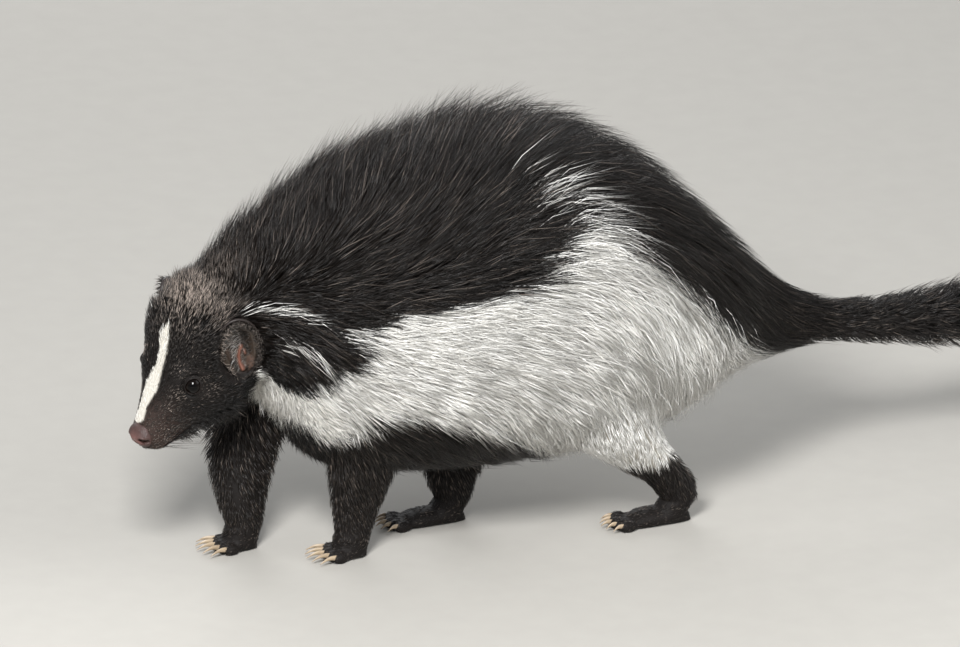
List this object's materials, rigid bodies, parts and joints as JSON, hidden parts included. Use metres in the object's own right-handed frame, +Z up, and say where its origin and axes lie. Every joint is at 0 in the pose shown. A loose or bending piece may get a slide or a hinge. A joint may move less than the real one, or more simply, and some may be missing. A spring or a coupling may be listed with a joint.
{
  "type": "striped skunk life-size museum model",
  "caption": "Life-size still model of a striped skunk walking with lowered head, long black coat with white side bands and bushy tail.",
  "frame": {"origin": "on the floor, at the middle of the model's outline seen from above", "axes": "+Z up, the animal faces -Y, its left side is +X; the long way runs along Y from the nose to the tail"},
  "size_m": [0.1627, 0.598, 0.2393],
  "materials": {
    "dark_coat": "long black-brown guard hair",
    "white_coat": "long white hair over black",
    "nose_skin": "bare moist brown-pink skin",
    "ear_skin": "bare skin with fine short hair",
    "eye": "dark wet gloss",
    "paw": "short dark hair, bare toes and horn claws",
    "claw": "pale horn"
  },
  "bodies": {
    "root": {"head": "dark_coat", "nose": "nose_skin", "eye_left": "eye", "eye_right": "eye", "ear_left": "ear_skin", "ear_right": "ear_skin", "neck": "dark_coat", "torso": "white_coat", "tail_base": "dark_coat", "tail_middle": "dark_coat", "tail_tip": "dark_coat", "front_leg_left": "dark_coat", "front_leg_right": "dark_coat", "hind_leg_left": "dark_coat", "hind_leg_right": "dark_coat", "front_foot_left": "paw", "front_foot_right": "paw", "hind_foot_left": "paw", "hind_foot_right": "paw"}
  },
  "joints": []
}
